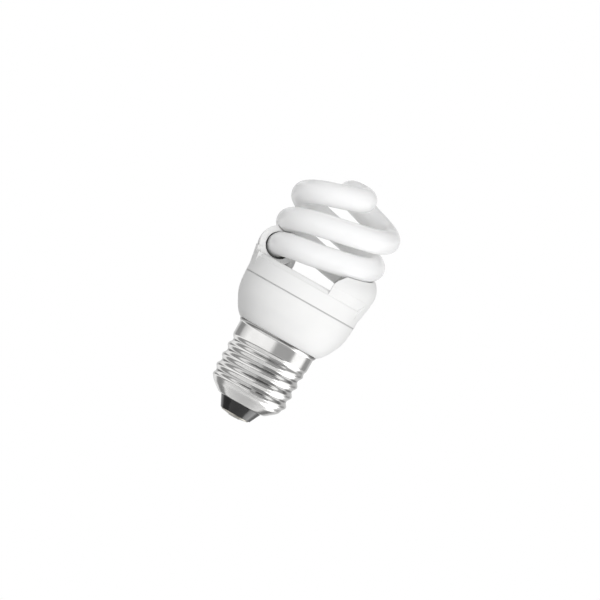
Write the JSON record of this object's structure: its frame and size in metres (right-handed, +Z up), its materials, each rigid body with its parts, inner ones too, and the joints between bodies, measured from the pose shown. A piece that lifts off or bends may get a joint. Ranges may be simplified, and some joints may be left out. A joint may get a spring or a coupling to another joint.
{
  "type": "compact fluorescent lamp",
  "caption": "Spiral energy saving bulb: a double helix glass tube in a moulded cover with two sleeves, a cup-shaped ballast housing and a screw cap.",
  "frame": {"origin": "centre of the bottom contact's solder face, the lowest point of the cap", "axes": "+Z up the lamp's axis from the cap to the top of the spiral, +X through the mouth of strand B's sleeve, -X through the mouth of strand A's sleeve; the picture is seen along +Y"},
  "size_m": [0.0412, 0.0386, 0.0839],
  "materials": {
    "opal_tube": "smooth, white phosphor behind clear glass",
    "white_plastic": "moulded, satin",
    "cement": "matt",
    "lead_wire": "tinned",
    "tinned_pin": "tinned",
    "cap_metal": "nickel plated, rolled",
    "cap_glass": "glossy black glass",
    "contact_metal": "nickel plated",
    "solder": "dull tin solder",
    "fuse_coating": "satin coating",
    "wire_sleeve": "satin",
    "ferrite": "matt sintered",
    "bobbin_plastic": "moulded",
    "copper_winding": "enamelled copper",
    "capacitor_sleeve": "shrunk sleeve",
    "disc_coating": "dipped",
    "diode_body": "moulded",
    "transistor_body": "moulded",
    "film_coating": "dipped",
    "resistor_coating": "painted",
    "board_laminate": "paper laminate"
  },
  "bodies": {
    "root": {"discharge_tube": "opal_tube", "tube_cover": "white_plastic", "ballast_housing": "white_plastic", "tube_cement_a": "cement", "tube_cement_b": "cement", "electrode_lead_a_inner": "lead_wire", "electrode_lead_a_outer": "lead_wire", "electrode_lead_b_inner": "lead_wire", "electrode_lead_b_outer": "lead_wire", "wrap_pin_1": "tinned_pin", "wrap_pin_2": "tinned_pin", "wrap_pin_3": "tinned_pin", "wrap_pin_4": "tinned_pin", "cap_shell": "cap_metal", "cap_insulator": "cap_glass", "cap_contact": "contact_metal", "contact_solder": "solder", "fuse_resistor": "fuse_coating", "live_wire": "wire_sleeve", "shell_wire": "lead_wire", "choke_core_upper": "ferrite", "choke_core_lower": "ferrite", "choke_bobbin": "bobbin_plastic", "choke_winding": "copper_winding", "bulk_capacitor": "capacitor_sleeve", "filter_choke_core": "ferrite", "filter_choke_winding": "copper_winding", "drive_toroid": "ferrite", "toroid_winding": "copper_winding", "snubber_capacitor": "disc_coating", "trigger_diac": "diode_body", "transistor_a": "transistor_body", "transistor_b": "transistor_body", "resonant_capacitor": "film_coating", "blocking_capacitor": "film_coating", "resistor_1": "resistor_coating", "resistor_2": "resistor_coating", "resistor_3": "resistor_coating", "rectifier_diode_1": "diode_body", "rectifier_diode_2": "diode_body", "rectifier_diode_3": "diode_body", "rectifier_diode_4": "diode_body", "circuit_board": "board_laminate"}
  },
  "joints": []
}
